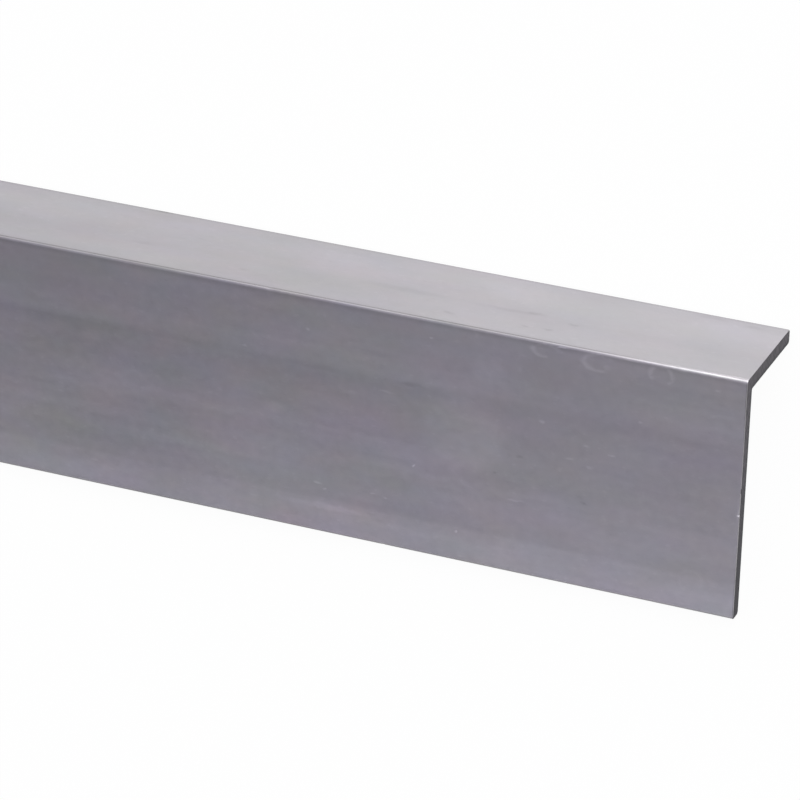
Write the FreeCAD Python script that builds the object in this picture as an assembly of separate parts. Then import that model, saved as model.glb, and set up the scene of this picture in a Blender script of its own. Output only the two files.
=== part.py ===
import FreeCAD, Part

import math
import os

# Driving dimensions, in millimetres
wide_leg = 50.0
narrow_leg = 25.0
wall = 3.0
length = 1000.0

# Small rounds that the extrusion die leaves along the whole length
heel_radius = 0.4
root_radius = 0.3
toe_radius = 0.7

# The angle rests heel up on its two toes, so the line across both toes is level
lean = math.atan2(wide_leg - wall, narrow_leg - wall)


def section_corners():
    # Heel corner at zero, narrow leg towards +Y, wide leg towards -Z, each with its radius
    return [
        (0, 0, heel_radius),
        (narrow_leg, 0, toe_radius),
        (narrow_leg, -wall, toe_radius),
        (wall, -wall, root_radius),
        (wall, -wide_leg, toe_radius),
        (0, -wide_leg, toe_radius),
    ]


def rounded_outline(corners):
    # Every corner is square, so its arc starts and ends one radius away from the point
    points = [FreeCAD.Vector(0, y, z) for y, z, radius in corners]
    arcs = []
    for i, point in enumerate(points):
        radius = corners[i][2]
        back = (points[i - 1] - point).normalize()
        ahead = (points[(i + 1) % len(points)] - point).normalize()
        centre = point + (back + ahead) * radius
        middle = centre - (back + ahead).normalize() * radius
        arcs.append((point + back * radius, middle, point + ahead * radius))
    edges = []
    for i, (start, middle, end) in enumerate(arcs):
        edges.append(Part.LineSegment(arcs[i - 1][2], start).toShape())
        edges.append(Part.Arc(start, middle, end).toShape())
    return Part.Wire(edges)


def rest_on_toes(bar):
    # Turns the bar about its length, then centres it and sets its toes at height zero
    bar.rotate(FreeCAD.Vector(0, 0, 0), FreeCAD.Vector(1, 0, 0), -math.degrees(lean))
    box = bar.optimalBoundingBox(False, False)
    bar.translate(FreeCAD.Vector(-box.Center.x, -box.Center.y, -box.ZMin))
    return bar


def make_angle():
    section = Part.Face(rounded_outline(section_corners()))
    bar = section.extrude(FreeCAD.Vector(length, 0, 0))
    return rest_on_toes(bar)


angle = make_angle()
section_area = angle.Volume / length
print("valid", angle.isValid(), "volume mm3", round(angle.Volume, 1), "section mm2", round(section_area, 3))
bounds = angle.optimalBoundingBox(False, False)
print("box mm", [round(v, 3) for v in (bounds.XLength, bounds.YLength, bounds.ZLength)])
print("lean from upright", round(math.degrees(lean), 3))

os.makedirs("parts", exist_ok=True)
angle.exportStep("parts/angle_section.step")
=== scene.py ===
import math

import bmesh
import bpy
from mathutils import Matrix, Vector, noise


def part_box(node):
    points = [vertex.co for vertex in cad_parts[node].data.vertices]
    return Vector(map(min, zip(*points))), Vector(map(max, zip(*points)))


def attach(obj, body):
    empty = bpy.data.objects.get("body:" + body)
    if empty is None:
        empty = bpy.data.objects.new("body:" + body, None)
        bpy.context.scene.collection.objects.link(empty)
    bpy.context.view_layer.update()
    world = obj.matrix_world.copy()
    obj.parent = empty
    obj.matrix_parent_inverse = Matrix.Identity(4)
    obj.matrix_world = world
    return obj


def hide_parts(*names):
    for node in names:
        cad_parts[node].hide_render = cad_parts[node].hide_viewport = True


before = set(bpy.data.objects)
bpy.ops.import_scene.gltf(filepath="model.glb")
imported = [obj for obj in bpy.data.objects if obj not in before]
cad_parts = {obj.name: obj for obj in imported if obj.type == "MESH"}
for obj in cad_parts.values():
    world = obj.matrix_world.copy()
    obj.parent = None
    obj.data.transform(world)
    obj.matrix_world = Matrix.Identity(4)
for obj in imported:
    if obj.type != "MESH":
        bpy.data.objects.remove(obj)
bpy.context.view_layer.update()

scene = bpy.context.scene
scene.view_settings.view_transform = "Standard"
nodeLow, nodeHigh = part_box("angle_section")
mm = 0.001
length = (nodeHigh.x - nodeLow.x) / mm


def addObject(name, data):
    made = bpy.data.objects.new(name, data)
    scene.collection.objects.link(made)
    return made


# The camera looks down on the sawn end, turned so that the heel runs down to the right
view = {
    "place": (0.70748, 0.03488, 0.78643),
    "turn": (1.4234, 19.8005, 11.2033),     # degrees
    "lens": 193.79,
    "sensor": 36,
    "reach": 60,                            # metres
}


def makeCamera():
    data = bpy.data.cameras.new("camera")
    data.lens = view["lens"]
    data.sensor_width = view["sensor"]
    data.clip_end = view["reach"]
    camera = addObject("camera", data)
    camera.location = view["place"]
    camera.rotation_euler = [math.radians(a) for a in view["turn"]]
    scene.camera = camera
    print("camera placed")


# The bar is drawn in its own section frame, in mm: x is 0 at the sawn end that shows and runs to minus
# the length, y goes across the narrow leg from the heel, and z goes down the wide leg, below zero
bar = {
    "wideLeg": 50,
    "narrowLeg": 25,
    "wall": 3,
    "heelRound": 0.4,
    "rootRound": 0.3,
    "toeRound": 0.7,
    "roundSteps": 8,
    "outlineStep": 1.0,
    # distance from the sawn end, and the slices' length up to there: short where wear is modelled
    "slices": [(1.6, 0.4), (40, 0.8), (170, 4), (length - 40, 40), (length - 1.6, 4), (length, 0.4)],
    "leastSlice": 0.15,
    "endFree": 0.3,             # no slice falls nearer to an end than this
    "sharpAngle": 40,
}
lean = math.atan2(bar["wideLeg"] - bar["wall"], bar["narrowLeg"] - bar["wall"])

# What the saw, a file and handling did to the edges, in mm
wear = {
    "breakWidth": 0.12,         # sharp corner taken off round both ends
    "breakWobble": 0.2,
    "breakGrain": 0.55,         # waves of the file's line in each mm
    "breakReach": 0.2,
    "fileDepth": 0.15,          # the file bit deeper along the middle of the wide leg's outer edge
    "fileReach": 0.1,
    "fileFrom": -3,
    "fileTo": -48,
    "heelReach": 34,            # the heel is rubbed this far from the end
    "heelRub": 0.1,
    "heelWidth": 0.55,
    "heelLeast": 0.12,          # share of the rubbing that the rest of the heel has
    "heelGrain": 0.7,
    "sawnReach": 0.3,           # faces this near an end can be sawn metal
    # place, half length, half width, depth, and the way that the metal was pushed
    "nicks": [
        ((0, 0, -27.8), 0.7, 0.6, 0.25, (-0.6, 1, 0)),
        ((-12.4, 25, 0), 0.7, 0.5, 0.16, (0, -1, -0.4)),
        ((-27.1, 25, 0), 0.9, 0.5, 0.14, (0, -1, -0.4)),
        ((-58.0, 25, 0), 0.6, 0.4, 0.12, (0, -1, -0.4)),
        ((-71.5, 0, -50), 0.8, 0.5, 0.12, (0, 0.5, 1)),
        ((-23.5, 0, -50), 0.5, 0.4, 0.10, (0, 0.5, 1)),
        ((-96.0, 0, 0), 0.9, 0.5, 0.04, (0, 1, -1)),
        ((-318, 0, 0), 1.1, 0.6, 0.14, (0, 1, -1)),
        ((-455, 25, 0), 1.0, 0.6, 0.15, (0, -1, -0.4)),
        ((-610, 0, -50), 1.0, 0.6, 0.14, (0, 0.5, 1)),
        ((-744, 0, 0), 0.8, 0.5, 0.12, (0, 1, -1)),
        ((-931, 25, 0), 0.9, 0.6, 0.16, (0, -1, -0.4)),
    ],
}


def drawOutline(bm):
    # The L with each corner rounded, and points along its straight sides
    wide, narrow, wall = bar["wideLeg"], bar["narrowLeg"], bar["wall"]
    corners = [(0, 0), (narrow, 0), (narrow, -wall), (wall, -wall), (wall, -wide), (0, -wide)]
    rounds = ["heelRound", "toeRound", "toeRound", "rootRound", "toeRound", "toeRound"]
    verts = [bm.verts.new((0, y, z)) for y, z in corners]
    bm.faces.new(verts)
    for vert, name in zip(verts, rounds):
        bmesh.ops.bevel(bm, geom=[vert], offset=bar[name], offset_type="OFFSET", segments=bar["roundSteps"],
                        profile=0.5, affect="VERTICES", material=-1)
    step = bar["outlineStep"]
    for edge in [e for e in bm.edges if e.calc_length() > 1.5 * step]:
        bmesh.ops.subdivide_edges(bm, edges=[edge], cuts=round(edge.calc_length() / step) - 1)
    return max(bm.faces, key=lambda f: len(f.verts))


def slicePlaces():
    # Even slices, and a few more across each nick
    places = [0.0]
    for reach, step in bar["slices"]:
        start = places[-1]
        count = round((reach - start) / step)
        places += [start + (reach - start) * (i + 1) / count for i in range(count)]
    for place, halfLength, *_ in wear["nicks"]:
        places += [-place[0] + halfLength * k / 2 for k in (-2, -1, 0, 1, 2)]
    kept = [0.0]
    for place in sorted(p for p in places if bar["endFree"] < p < length - bar["endFree"]):
        if place - kept[-1] > bar["leastSlice"]:
            kept.append(place)
    return kept[1:] + [length]


def drawLength(bm, outline):
    face = outline
    for place in slicePlaces():
        # the edges go along, so that the face left behind is removed
        made = bmesh.ops.extrude_face_region(bm, geom=[face, *face.edges])["geom"]
        face = [g for g in made if isinstance(g, bmesh.types.BMFace)][0]
        for v in face.verts:
            v.co.x = -place
    bmesh.ops.recalc_face_normals(bm, faces=bm.faces)


def breakEnds(bm):
    # Takes the sharp corner off both ends; the line that the file left is never quite straight
    for x, inward in ((0, -1), (-length, 1)):
        edges = [e for e in bm.edges if all(abs(v.co.x - x) < 1e-4 for v in e.verts)]
        bmesh.ops.bevel(bm, geom=edges, offset=wear["breakWidth"], offset_type="OFFSET", segments=2,
                        profile=0.5, affect="EDGES", material=-1)
        for v in bm.verts:
            fromEnd = abs(v.co.x - x)
            share = fromEnd / wear["breakWidth"]
            wobble = 0.5 + 0.5 * noise.noise(Vector((x, v.co.y, v.co.z)) * wear["breakGrain"])
            if 1e-3 < fromEnd < wear["breakReach"]:
                v.co.x += inward * wear["breakWobble"] * wobble * share
            down = (v.co.z - wear["fileFrom"]) / (wear["fileTo"] - wear["fileFrom"])
            if fromEnd < wear["fileReach"] and v.co.y < 0.5 and 0 < down < 1:
                hump = math.sin(math.pi * down)
                v.co.y += wear["fileDepth"] * hump * (0.6 + 0.6 * wobble) * (1 - share)


def rubHeel(bm):
    # The heel is rubbed flat near the end that shows, unevenly, and hardly at all further along
    push = Vector((0, 1, -1)).normalized()
    for v in bm.verts:
        near = 1 - math.hypot(v.co.y, v.co.z) / wear["heelWidth"]
        if near > 0:
            along = max(wear["heelLeast"], 1 - abs(v.co.x) / wear["heelReach"])
            wobble = 0.5 + 0.5 * noise.noise(Vector((v.co.x * wear["heelGrain"], 3, 0)))
            v.co += push * wear["heelRub"] * along * wobble * min(1, near * 3)


def dent(bm, place, halfLength, halfWidth, depth, push):
    centre, push = Vector(place), Vector(push).normalized()
    for v in bm.verts:
        away = v.co - centre
        far = math.hypot(away.x / halfLength, math.hypot(away.y, away.z) / halfWidth)
        if far < 1:
            v.co += push * depth * (1 - far * far)


def layDown(bm):
    # Turned onto its toes, in metres, and set where the frame's own node lies; returns the heel's corner
    heel = bm.verts.new((0, 0, 0))
    bmesh.ops.scale(bm, vec=(mm, mm, mm), verts=bm.verts)
    bmesh.ops.rotate(bm, cent=(0, 0, 0), matrix=Matrix.Rotation(-lean, 3, "X"), verts=bm.verts)
    own = [v for v in bm.verts if v is not heel]
    low = Vector([min(v.co[i] for v in own) for i in range(3)])
    high = Vector([max(v.co[i] for v in own) for i in range(3)])
    move = Vector((nodeHigh.x - high.x, nodeLow.y - low.y, nodeLow.z - low.z))
    bmesh.ops.translate(bm, vec=move, verts=bm.verts)
    corner = heel.co.copy()
    bm.verts.remove(heel)
    return corner


def makeBar():
    bm = bmesh.new()
    drawLength(bm, drawOutline(bm))
    breakEnds(bm)
    rubHeel(bm)
    for nick in wear["nicks"]:
        dent(bm, *nick)
    # the two flat ends are split evenly, so that no triangle of them is a sliver
    bmesh.ops.triangulate(bm, faces=[f for f in bm.faces if len(f.verts) > 4])
    bm.normal_update()
    for face in bm.faces:
        # the sawn metal, dark with painted shade, also covers the break along the inner edges and toes, which
        # the file didn't reach
        middle, normal = face.calc_center_median(), face.normal
        atEnd = min(abs(middle.x), abs(middle.x + length)) < wear["sawnReach"]
        flatEnd = abs(normal.x) > 0.9
        innerBreak = abs(normal.x) > 0.2 and (normal.y > 0.3 or normal.z < -0.3)
        face.material_index = 1 if atEnd and (flatEnd or innerBreak) else 0
    openEdges = sum(1 for e in bm.edges if len(e.link_faces) != 2)
    heelCorner = layDown(bm)
    mesh = bpy.data.meshes.new("angle_bar")
    bm.to_mesh(mesh)
    bm.free()
    mesh.shade_smooth()
    mesh.set_sharp_from_angle(angle=math.radians(bar["sharpAngle"]))
    piece = addObject("angle_bar", mesh)
    weighted = piece.modifiers.new("flat faces", "WEIGHTED_NORMAL")
    weighted.keep_sharp = True
    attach(piece, "root")
    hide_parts("angle_section")
    print("bar made:", len(mesh.polygons), "faces,", openEdges, "open edges, heel corner",
          tuple(round(c, 6) for c in heelCorner))
    return piece, heelCorner


def addNode(tree, kind, **values):
    node = tree.nodes.new(kind)
    for name, value in values.items():
        setattr(node, name, value)
    return node


def feed(tree, socket, value):
    # Another node's output is linked to the socket, and a number or colour is set on it
    if isinstance(value, bpy.types.NodeSocket):
        tree.links.new(value, socket)
    else:
        socket.default_value = value


def calc(tree, operation, *values, clamp=False):
    node = addNode(tree, "ShaderNodeMath", operation=operation, use_clamp=clamp)
    for socket, value in zip(node.inputs, values):
        feed(tree, socket, value)
    return node.outputs[0]


def ease(tree, value, fromLow, fromHigh, toLow=0.0, toHigh=1.0):
    node = addNode(tree, "ShaderNodeMapRange", interpolation_type="SMOOTHSTEP")
    for name, number in (("Value", value), ("From Min", fromLow), ("From Max", fromHigh),
                         ("To Min", toLow), ("To Max", toHigh)):
        feed(tree, node.inputs[name], number)
    return node.outputs[0]


def vectorCalc(tree, operation, *values):
    node = addNode(tree, "ShaderNodeVectorMath", operation=operation)
    for socket, value in zip(node.inputs, values):
        feed(tree, socket, value)
    return node.outputs["Value"] if operation == "LENGTH" else node.outputs["Vector"]


def scaled(tree, vector, factor):
    node = addNode(tree, "ShaderNodeVectorMath", operation="SCALE")
    tree.links.new(vector, node.inputs[0])
    tree.links.new(factor, node.inputs["Scale"])
    return node.outputs[0]


def axes(tree, vector):
    node = addNode(tree, "ShaderNodeSeparateXYZ")
    tree.links.new(vector, node.inputs[0])
    return node.outputs


def blend(tree, factor, first, second, kind="RGBA"):
    node = addNode(tree, "ShaderNodeMix", data_type=kind)
    shown = [socket for socket in node.inputs if socket.enabled]
    for socket, value in zip(shown, (factor, first, second)):
        feed(tree, socket, value)
    return [socket for socket in node.outputs if socket.enabled][0]


def grain(tree, place, stretch, detail, shift, output="Fac"):
    # Noise about 0.5, its grains as long in mm as one over each stretch
    texture = addNode(tree, "ShaderNodeTexNoise")
    texture.inputs["Scale"].default_value = 1
    texture.inputs["Detail"].default_value = detail
    texture.inputs["Roughness"].default_value = 0.55
    stretched = vectorCalc(tree, "MULTIPLY_ADD", place, stretch, (shift, shift, shift))
    tree.links.new(stretched, texture.inputs["Vector"])
    return texture.outputs[output]


def bands(tree, distance, reach, stops):
    # Painted shading by the distance across a leg: each stop is a distance in mm and its tone
    ramp = addNode(tree, "ShaderNodeValToRGB")
    line = ramp.color_ramp
    line.interpolation = "EASE"
    for where, tone in stops:
        if where == 0:
            element = line.elements[0]
        elif where == reach:
            element = line.elements[len(line.elements) - 1]
        else:
            element = line.elements.new(where / reach)
        element.color = (tone, tone, tone, 1)
    tree.links.new(calc(tree, "DIVIDE", distance, reach), ramp.inputs["Fac"])
    return ramp.outputs["Color"]


def rimDistance(tree, place, centre, halves):
    # Distance from a centre, 1 on the rim of the ellipsoid with these half sizes
    shift = [-c / h for c, h in zip(centre, halves)]
    return vectorCalc(tree, "LENGTH", vectorCalc(tree, "MULTIPLY_ADD", place, [1 / h for h in halves], shift))


# Mill-finish aluminium, grey with a slight violet cast; lengths in mm in the section frame
finish = {
    "metal": (0.762, 0.732, 0.778),
    "roughness": 0.42,
    "roughStreaks": 0.07,
    "roughMottle": 0.08,
    # painted shading across each leg, from the heel: a painted highlight on the heel's round, painted shade
    # just beside it and at the narrow leg's toe, and a painted reflection lightening the wide leg towards its
    # toe
    "wideShadingBands": [(0, 1.26), (0.2, 1.42), (0.4, 1.18), (0.62, 0.76), (0.8, 0.67), (1.8, 0.765), (6, 0.77),
                  (10.5, 0.80), (13.1, 0.80), (15.0, 0.747), (20, 0.79), (29, 0.85), (37, 0.90), (42, 0.895),
                  (43.4, 0.985), (47, 1.045), (50, 1.03)],
    "narrowShadingBands": [(0, 0.61), (0.8, 0.70), (1.5, 0.715), (5, 0.706), (9.5, 0.695), (13, 0.716),
                    (17.5, 0.742), (20, 0.742), (22, 0.718), (23.5, 0.71), (24.1, 0.65), (25, 0.63)],
    "bandWander": 1.2,
    "wanderFrom": (2, 8),       # down from the heel, where the wide leg's bands begin to wander
    "legEdge": (-0.3, 0.3),     # where the wide leg's bands give way to the narrow leg's
    "farShade": 0.87,            # painted shade: the bar is a little darker away from the end that shows
    "farFrom": -160,
    # each kind of grain: its stretch, detail and shift, and how much it changes the tone
    "streaks": ((0.02, 0.5, 0.5), 1, 0, 0.038),
    "mottle": ((0.5, 0.7, 0.7), 2, 3, 0.10),
    "clouds": ((0.045, 0.09, 0.09), 2, 11, 0.19),
    "flecks": ((0.55, 0.95, 0.95), 1, 7, 0.045),
    "lightFlecks": (0.60, 0.76),
    "darkFlecks": (0.38, 0.24),
    "darkShare": -0.7,
    "narrowGrain": -0.15,
    # how much the wide leg's red and blue wander, between violet and green and between pink and blue
    "violet": ((0.045, 0.09, 0.09), 2, 23),
    "violetDrift": (0.18, 0, 0.23),
    "pink": ((0.07, 0.12, 0.12), 2, 31),
    "pinkDrift": (0.13, 0, -0.11),
    "driftAlong": (-30, -85, 0.7, 1.05),
    "narrowDrift": -0.5,
    # painted shade along the outer round of each toe: where it starts and is full, both ways
    "wideToe": ((49.35, 49.6), (0.9, 0.45)),
    "wideToeShade": 0.62,
    "narrowToe": ((24.3, 24.5), (0.8, 0.3)),
    "narrowToeShade": 0.35,
    "cut": ((-0.32, -0.14), (0.1, 0.8)),        # painted shade on the break beside the saw cut, along and down
    "cutShade": 0.45,
    # the heel's strip of painted shade: centre, half sizes, rim, where it starts and is full, how clouds
    # break it up
    "heelCentre": (0, 0, -0.08),
    "heelStrip": (1e5, 0.55, 0.42),
    "heelRim": (1.0, 0.4),
    "heelFrom": (-6, -42),
    "heelCloud": (1.4, 0.3),
    "heelShade": 0.38,
    "markDeep": 0.8,            # half size of every mark through the metal
    # noise that bends the outlines of the marks, and by how many mm
    "stir": ((0.45, 0.45, 0.45), 1, 19),
    "markStir": (2.4, 0.9, 0.9),
    "scuffStir": (1.1, 0.7, 0.7),
    "scuffRim": 0.34,
    "scuffGap": (0.6, 1.1),
    "scuffBreaks": (0.32, 0.52, 0.06, 0.15),
    "bumpMottle": 0.7,          # its share beside the streaks
    "bumpDepth": 0.007,
}

# Marks on the wide leg: along, down from the heel, half length, half width, soft rim, strength. The first
# is a painted highlight on the strip beside the heel near the cut, where the heel is rubbed
wideMarks = [
    (0, 0.45, 30.0, 0.5, 0.9, 0.16),
    (-55.5, 22.5, 10.5, 10.0, 0.45, 0.085),
    (-50.9, 8.3, 4.6, 4.2, 0.8, 0.07),
    (-82.6, 44.2, 13.5, 1.0, 0.8, 0.14),
    (-40.5, 43.8, 9.0, 3.5, 0.9, 0.05),
    (-94.5, 25.0, 3.6, 1.8, 0.8, 0.08),
    (-133.7, 17.8, 2.6, 1.3, 0.8, 0.06),
    (-27.0, 2.9, 1.3, 0.9, 0.8, 0.08),
    (-85.5, 39.2, 1.03, 0.44, 0.9, 0.21),
    (-83.6, 40.3, 0.69, 0.38, 0.9, 0.22),
    (-73.6, 39.2, 1.03, 0.31, 0.9, 0.18),
    (-71.2, 39.5, 0.8, 0.31, 0.9, 0.17),
    (-56.6, 43.5, 0.63, 0.5, 0.9, 0.38),
    (-65.3, 31.5, 0.52, 0.5, 0.9, 0.34),
    (-62.4, 3.8, 0.57, 0.38, 0.9, 0.21),
    (-101.3, 13.2, 1.15, 0.38, 0.9, 0.15),
    (-88.0, 7.1, 0.57, 0.5, 0.9, 0.19),
    (-71.3, 16.9, 2.3, 0.38, 0.9, 0.12),
    (-39.7, 16.7, 0.8, 0.5, 0.9, 0.22),
    (-30.5, 20.0, 1.38, 0.44, 0.9, 0.17),
    (-25.5, 20.8, 0.92, 0.38, 0.9, 0.18),
    (-34.3, 23.3, 1.61, 0.44, 0.9, 0.14),
    (-29.7, 24.2, 0.92, 0.5, 0.9, 0.15),
    (-20.5, 12.9, 0.8, 0.44, 0.9, 0.2),
    (0.15, 27.8, 0.6, 0.25, 0.9, 1.5),
    (-36.3, 0.62, 1.6, 0.3, 0.9, 0.45),
    (-22.3, 0.65, 3.6, 0.25, 0.9, 0.18),
    (-5.6, 3.2, 1.26, 0.38, 0.9, 0.14),
    (-44.5, 34.3, 2.3, 0.35, 0.9, 0.14),
    (-43.8, 25.0, 0.92, 0.5, 0.9, -0.12),
    (-48.8, 29.2, 0.8, 0.44, 0.9, -0.14),
    (-30.5, 32.0, 0.92, 0.44, 0.9, -0.12),
    (-66.0, 14.4, 3.2, 0.7, 0.8, -0.10),
    (-78.5, 18.6, 2.4, 0.7, 0.8, 0.06),
    (-86.5, 14.6, 9.0, 1.0, 0.9, -0.06),
    (-300, 21, 18, 9, 0.7, 0.06),
    (-420, 33, 7, 0.6, 0.6, 0.14),
    (-565, 12, 14, 8, 0.8, -0.06),
    (-702, 38, 22, 1.2, 0.8, 0.12),
    (-845, 24, 12, 9, 0.7, 0.06),
]

# Marks on the narrow leg: along, out from the heel, then as above
narrowMarks = [
    # the first is a painted highlight on the strip beside the heel near the cut, where the heel is rubbed
    (0, 0.42, 30.0, 0.42, 0.9, 0.36),
    (-129.7, 24.2, 2.4, 0.6, 0.7, -0.14),
    (-126.6, 8.8, 3.6, 1.0, 0.9, -0.06),
    (-103.8, 5.8, 2.0, 0.9, 0.9, -0.07),
    (-60.9, 4.2, 1.6, 0.9, 0.9, -0.09),
    (-46.0, 10.8, 3.0, 0.95, 0.9, -0.11),
    (-45.5, 4.6, 1.2, 0.7, 0.8, -0.10),
    (-41.3, 5.0, 1.6, 0.7, 0.8, -0.12),
    (-37.3, 9.0, 1.6, 0.8, 0.9, -0.11),
    (-72.0, 10.4, 14.0, 1.5, 0.9, -0.06),
    (-50.5, 10.2, 9.5, 1.1, 0.9, -0.07),
    (-15.0, 23.2, 5.0, 0.8, 0.8, -0.07),
    (-6.2, 22.4, 3.2, 1.0, 0.8, -0.06),
    (-360, 14, 9, 4, 0.8, -0.05),
    (-530, 18, 12, 0.7, 0.7, 0.10),
    (-790, 8, 8, 3, 0.8, -0.06),
]

# Rubbed half rings on the wide leg, three near the heel and a faint one near the toe: along, down, half
# length, half width, the side that is missing, strength
scuffs = [
    (-39.3, 1.9, 2.7, 1.25, (2.6, 1.0), 1.0),
    (-29.2, 2.3, 2.9, 1.65, (3.0, 0.4), 1.1),
    (-16.7, 2.3, 2.2, 1.65, (-0.4, 2.0), 1.0),
    (-8.8, 43.6, 2.2, 2.2, (0.2, 2.0), 0.25),
]


def addMarks(tree, place, tone):
    # Adds every rubbed patch, scratch, speck and smudge to the tone, and the painted highlight beside the
    # heel
    deep = finish["markDeep"]
    marks = [((along, 0, -down), (halfLength, deep, halfWidth), soft, strength)
             for along, down, halfLength, halfWidth, soft, strength in wideMarks]
    marks += [((along, out, 0), (halfLength, halfWidth, deep), soft, strength)
              for along, out, halfLength, halfWidth, soft, strength in narrowMarks]
    for centre, halves, soft, strength in marks:
        mark = ease(tree, rimDistance(tree, place, centre, halves), 1.0, 1.0 - soft, 0.0, strength)
        tone = calc(tree, "ADD", tone, mark)
    return tone


def addScuffs(tree, place, tone, breaks):
    # Adds the half rings, broken up by the grain
    total = 0.0
    for along, down, halfLength, halfWidth, (gapAlong, gapDown), strength in scuffs:
        halves = (halfLength, finish["markDeep"], halfWidth)
        middle = rimDistance(tree, place, (along, 0, -down), halves)
        fromRim = calc(tree, "ABSOLUTE", calc(tree, "SUBTRACT", middle, 1.0))
        gap = rimDistance(tree, place, (along + gapAlong, 0, -down - gapDown), halves)
        arc = calc(tree, "MULTIPLY", ease(tree, fromRim, finish["scuffRim"], 0.0, 0.0, strength),
                   ease(tree, gap, *finish["scuffGap"]))
        total = calc(tree, "ADD", arc, total)
    return calc(tree, "MULTIPLY_ADD", total, breaks, tone)


def sectionPlace(tree, heelCorner):
    # Section coordinates in mm: x from the sawn end, y across the narrow leg, z up the wide leg
    where = addNode(tree, "ShaderNodeTexCoord")
    mapping = addNode(tree, "ShaderNodeMapping")
    turn = Matrix.Rotation(lean, 3, "X")
    mapping.inputs["Scale"].default_value = (1 / mm, 1 / mm, 1 / mm)
    mapping.inputs["Rotation"].default_value = (lean, 0, 0)
    mapping.inputs["Location"].default_value = -(turn @ heelCorner) / mm
    tree.links.new(where.outputs["Object"], mapping.inputs["Vector"])
    return mapping.outputs[0]


def newMetal(name):
    material = bpy.data.materials.new(name)
    material.use_nodes = True
    tree = material.node_tree
    shader = tree.nodes["Principled BSDF"]
    shader.inputs["Metallic"].default_value = 1
    return material, tree, shader


def finishMetal(tree, shader, colour, rough, height, depth):
    # The bump is as deep as this in mm
    bump = addNode(tree, "ShaderNodeBump")
    bump.inputs["Distance"].default_value = depth * mm
    tree.links.new(height, bump.inputs["Height"])
    for name, socket in (("Base Color", colour), ("Roughness", rough), ("Normal", bump.outputs[0])):
        tree.links.new(socket, shader.inputs[name])


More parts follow.
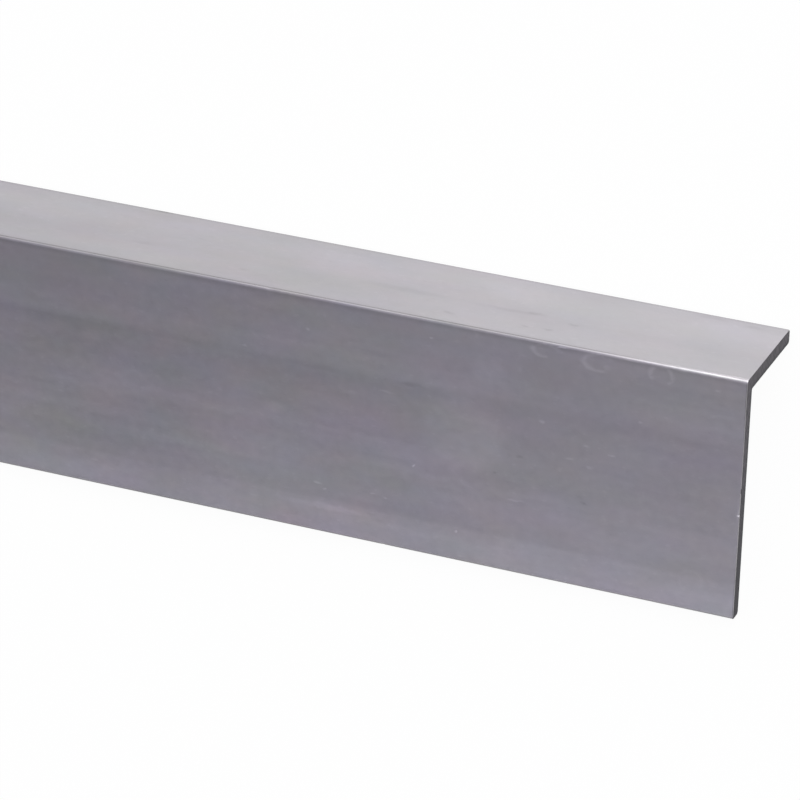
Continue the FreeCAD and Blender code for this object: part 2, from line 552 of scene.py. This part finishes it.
def makeMetal(heelCorner):
    material, tree, shader = newMetal("millAluminium")
    place = sectionPlace(tree, heelCorner)
    along, across, up = axes(tree, place)
    down = calc(tree, "MULTIPLY", up, -1.0)

    streaks, mottle, clouds, flecks = [grain(tree, place, *finish[name][:3])
                                       for name in ("streaks", "mottle", "clouds", "flecks")]
    stir = grain(tree, place, *finish["stir"], "Color")
    stir = vectorCalc(tree, "SUBTRACT", stir, (0.5, 0.5, 0.5))
    stirred = vectorCalc(tree, "MULTIPLY_ADD", stir, finish["markStir"], place)
    stirredLess = vectorCalc(tree, "MULTIPLY_ADD", stir, finish["scuffStir"], place)

    # The narrow leg's painted shading bands cover everything beyond its root, the wide leg's the rest; they
    # wander a little away from the heel
    onNarrow = ease(tree, calc(tree, "SUBTRACT", across, down), *finish["legEdge"])
    wander = calc(tree, "MULTIPLY", calc(tree, "SUBTRACT", clouds, 0.5), finish["bandWander"])
    wander = calc(tree, "MULTIPLY", wander, ease(tree, down, *finish["wanderFrom"]))
    wideShading = bands(tree, calc(tree, "ADD", down, wander), bar["wideLeg"], finish["wideShadingBands"])
    narrowShading = bands(tree, across, bar["narrowLeg"], finish["narrowShadingBands"])
    bandShading = blend(tree, onNarrow, wideShading, narrowShading, "FLOAT")

    # The grains work less on the narrow leg, which mirrors the bright floor
    lightFlecks = ease(tree, flecks, *finish["lightFlecks"])
    darkFlecks = ease(tree, flecks, *finish["darkFlecks"])
    grains = calc(tree, "MULTIPLY_ADD", darkFlecks, finish["darkShare"], lightFlecks)
    grains = calc(tree, "MULTIPLY", grains, finish["flecks"][3])
    for texture, name in ((streaks, "streaks"), (mottle, "mottle"), (clouds, "clouds")):
        grains = calc(tree, "MULTIPLY_ADD", calc(tree, "SUBTRACT", texture, 0.5), finish[name][3], grains)
    grains = calc(tree, "MULTIPLY", grains, calc(tree, "MULTIPLY_ADD", onNarrow, finish["narrowGrain"], 1.0))
    # painted shade darkens the bar away from the end that shows
    tone = calc(tree, "ADD", grains, ease(tree, along, finish["farFrom"], 0.0, finish["farShade"], 1.0))
    tone = addMarks(tree, stirred, tone)
    tone = addScuffs(tree, stirredLess, tone, ease(tree, mottle, *finish["scuffBreaks"]))
    # the painted shading across each leg scales the tone
    tone = calc(tree, "MULTIPLY", tone, bandShading)

    # Painted shade darkens the outer round of each toe, the break beside the cut on the wide leg and, away
    # from the cut, the heel with a thin strip beside it on the narrow leg
    wideToe, narrowToe, cut = [
        calc(tree, "MULTIPLY", ease(tree, first, *finish[name][0]), ease(tree, second, *finish[name][1]))
        for name, first, second in (("wideToe", down, across), ("narrowToe", across, down),
                                    ("cut", along, down))]
    besideHeel = rimDistance(tree, place, finish["heelCentre"], finish["heelStrip"])
    heel = ease(tree, besideHeel, *finish["heelRim"])
    heel = calc(tree, "MULTIPLY", heel, ease(tree, along, *finish["heelFrom"]))
    heel = calc(tree, "MULTIPLY", heel, calc(tree, "MULTIPLY_ADD", clouds, *finish["heelCloud"]))
    for paintedShade, amount in ((wideToe, "wideToeShade"), (narrowToe, "narrowToeShade"), (cut, "cutShade"),
                         (heel, "heelShade")):
        tone = calc(tree, "MULTIPLY", tone, calc(tree, "MULTIPLY_ADD", paintedShade, -finish[amount], 1.0))

    # The tint wanders in patches, less near the cut and on the narrow leg
    violet = calc(tree, "SUBTRACT", grain(tree, place, *finish["violet"]), 0.5)
    pink = calc(tree, "SUBTRACT", grain(tree, place, *finish["pink"]), 0.5)
    drift = vectorCalc(tree, "MULTIPLY", violet, finish["violetDrift"])
    drift = vectorCalc(tree, "MULTIPLY_ADD", pink, finish["pinkDrift"], drift)
    amount = calc(tree, "MULTIPLY_ADD", onNarrow, finish["narrowDrift"], 1.0)
    amount = calc(tree, "MULTIPLY", amount, ease(tree, along, *finish["driftAlong"]))
    drift = scaled(tree, drift, amount)
    tint = vectorCalc(tree, "MULTIPLY_ADD", drift, finish["metal"], finish["metal"])
    colour = scaled(tree, tint, tone)

    rough = finish["roughness"]
    for texture, amount in ((streaks, "roughStreaks"), (mottle, "roughMottle")):
        rough = calc(tree, "MULTIPLY_ADD", calc(tree, "SUBTRACT", texture, 0.5), finish[amount], rough)
    height = calc(tree, "MULTIPLY_ADD", mottle, finish["bumpMottle"], streaks)
    finishMetal(tree, shader, colour, rough, height, finish["bumpDepth"])
    print("mill finish made:", len(tree.nodes), "nodes")
    return material


# The saw's surface: rough, and dark with painted shade, darkest along the inner edge, with the blade's faint
# arcs
sawn = {
    # both colours are darkened to paint the shade that the sawn end lies in
    "metal": (0.110, 0.100, 0.115, 1),
    "shadedMetal": (0.036, 0.034, 0.041, 1),
    "innerFrom": (1.6, 2.8),    # mm in from the outer faces
    "innerShade": 0.6,
    "lowFrom": (-8, -46),       # towards the wide leg's toe
    "lowDark": 0.75,
    "roughness": 0.58,
    "roughWander": 0.3,
    "bladeCentre": (0, 90, 60),     # mm, in the section frame
    "arcStep": 0.35,
    "arcDetail": 3,
    "blotches": ((0.6, 0.6, 0.6), 4, 2),
    "lightFrom": (0.35, 0.62),
    "bumpDepth": 0.02,
}


def makeSawn(heelCorner):
    material, tree, shader = newMetal("sawnEnd")
    place = sectionPlace(tree, heelCorner)
    fromBlade = vectorCalc(tree, "SUBTRACT", place, sawn["bladeCentre"])
    radius = vectorCalc(tree, "LENGTH", vectorCalc(tree, "MULTIPLY", fromBlade, (0, 1, 1)))
    arcs = addNode(tree, "ShaderNodeTexNoise", noise_dimensions="1D")
    arcs.inputs["Scale"].default_value = 1 / sawn["arcStep"]
    arcs.inputs["Detail"].default_value = sawn["arcDetail"]
    tree.links.new(radius, arcs.inputs["W"])
    blotches = grain(tree, place, *sawn["blotches"])

    shade = calc(tree, "MULTIPLY_ADD", arcs.outputs["Fac"], 0.5, calc(tree, "MULTIPLY", blotches, 0.5))
    across, up = axes(tree, place)[1:]
    inward = calc(tree, "MINIMUM", across, calc(tree, "MULTIPLY", up, -1.0))
    light = ease(tree, shade, *sawn["lightFrom"])
    # painted shade along the inner edge
    light = calc(tree, "MULTIPLY_ADD", ease(tree, inward, *sawn["innerFrom"]), -sawn["innerShade"], light)
    light = calc(tree, "MULTIPLY_ADD", ease(tree, up, *sawn["lowFrom"]), -sawn["lowDark"], light)
    colour = blend(tree, light, sawn["shadedMetal"], sawn["metal"])
    rough = calc(tree, "MULTIPLY_ADD", calc(tree, "SUBTRACT", shade, 0.5), sawn["roughWander"],
                 sawn["roughness"])
    finishMetal(tree, shader, colour, rough, shade, sawn["bumpDepth"])
    print("sawn ends made")
    return material


studio = {
    "skyDark": (0.286, 0.281, 0.326, 1),    # low on the side that the wide leg mirrors
    "skyLight": (0.95, 0.95, 0.95, 1),
    "skyAcross": (-1, 0.6),
    "skyAlong": (0.60, 1.50),       # how much dimmer and brighter the sky is towards the bar's two ends
    "horizon": (0.98, 0.98, 0.98, 1),
    "horizonHigh": (0.09, 0.02),    # the pale horizon fades in between these heights, 1 being straight up
    "keyPower": 1.2,
    "keyFrom": (0.45, 0.62, 0.64),
    "keyAngle": 110,
    "floorTone": 0.93,
    "floorSize": 60,
    "floorWhite": 0.94,
}


def makeWorld():
    world = bpy.data.worlds.new("studio")
    scene.world = world
    world.use_nodes = True
    tree = world.node_tree
    background = tree.nodes["Background"]
    where = addNode(tree, "ShaderNodeTexCoord")
    along, across, up = axes(tree, where.outputs["Generated"])
    sky = blend(tree, ease(tree, across, *studio["skyAcross"]), studio["skyDark"], studio["skyLight"])
    sky = scaled(tree, sky, ease(tree, along, -1.0, 1.0, *studio["skyAlong"]))
    sky = blend(tree, ease(tree, up, *studio["horizonHigh"]), sky, studio["horizon"])
    tree.links.new(sky, background.inputs["Color"])
    print("world made")


def makeLamps():
    data = bpy.data.lights.new("key", "SUN")
    data.energy = studio["keyPower"]
    data.angle = math.radians(studio["keyAngle"])
    lamp = addObject("key", data)
    lamp.rotation_euler = Vector(studio["keyFrom"]).to_track_quat("Z", "Y").to_euler()
    print("lamps made")


def makeFloor():
    bm = bmesh.new()
    bmesh.ops.create_grid(bm, x_segments=1, y_segments=1, size=studio["floorSize"] / 2)
    mesh = bpy.data.meshes.new("floor")
    bm.to_mesh(mesh)
    bm.free()
    floor = addObject("floor", mesh)
    material = bpy.data.materials.new("paleFloor")
    material.use_nodes = True
    tree = material.node_tree
    tree.nodes.remove(tree.nodes["Principled BSDF"])
    matt = addNode(tree, "ShaderNodeBsdfDiffuse")
    matt.inputs["Color"].default_value = (studio["floorTone"],) * 3 + (1,)
    glow = addNode(tree, "ShaderNodeEmission")
    rays = addNode(tree, "ShaderNodeLightPath")
    seen = calc(tree, "ADD", rays.outputs["Is Camera Ray"], rays.outputs["Is Glossy Ray"])
    seen = calc(tree, "ADD", seen, rays.outputs["Is Transmission Ray"], clamp=True)
    mixed = addNode(tree, "ShaderNodeMixShader")
    tree.links.new(calc(tree, "MULTIPLY", seen, studio["floorWhite"]), mixed.inputs["Fac"])
    tree.links.new(matt.outputs[0], mixed.inputs[1])
    tree.links.new(glow.outputs[0], mixed.inputs[2])
    tree.links.new(mixed.outputs[0], tree.nodes["Material Output"].inputs["Surface"])
    mesh.materials.append(material)
    print("floor made")


makeCamera()
piece, heelCorner = makeBar()
piece.data.materials.append(makeMetal(heelCorner))
piece.data.materials.append(makeSawn(heelCorner))
makeWorld()
makeLamps()
makeFloor()
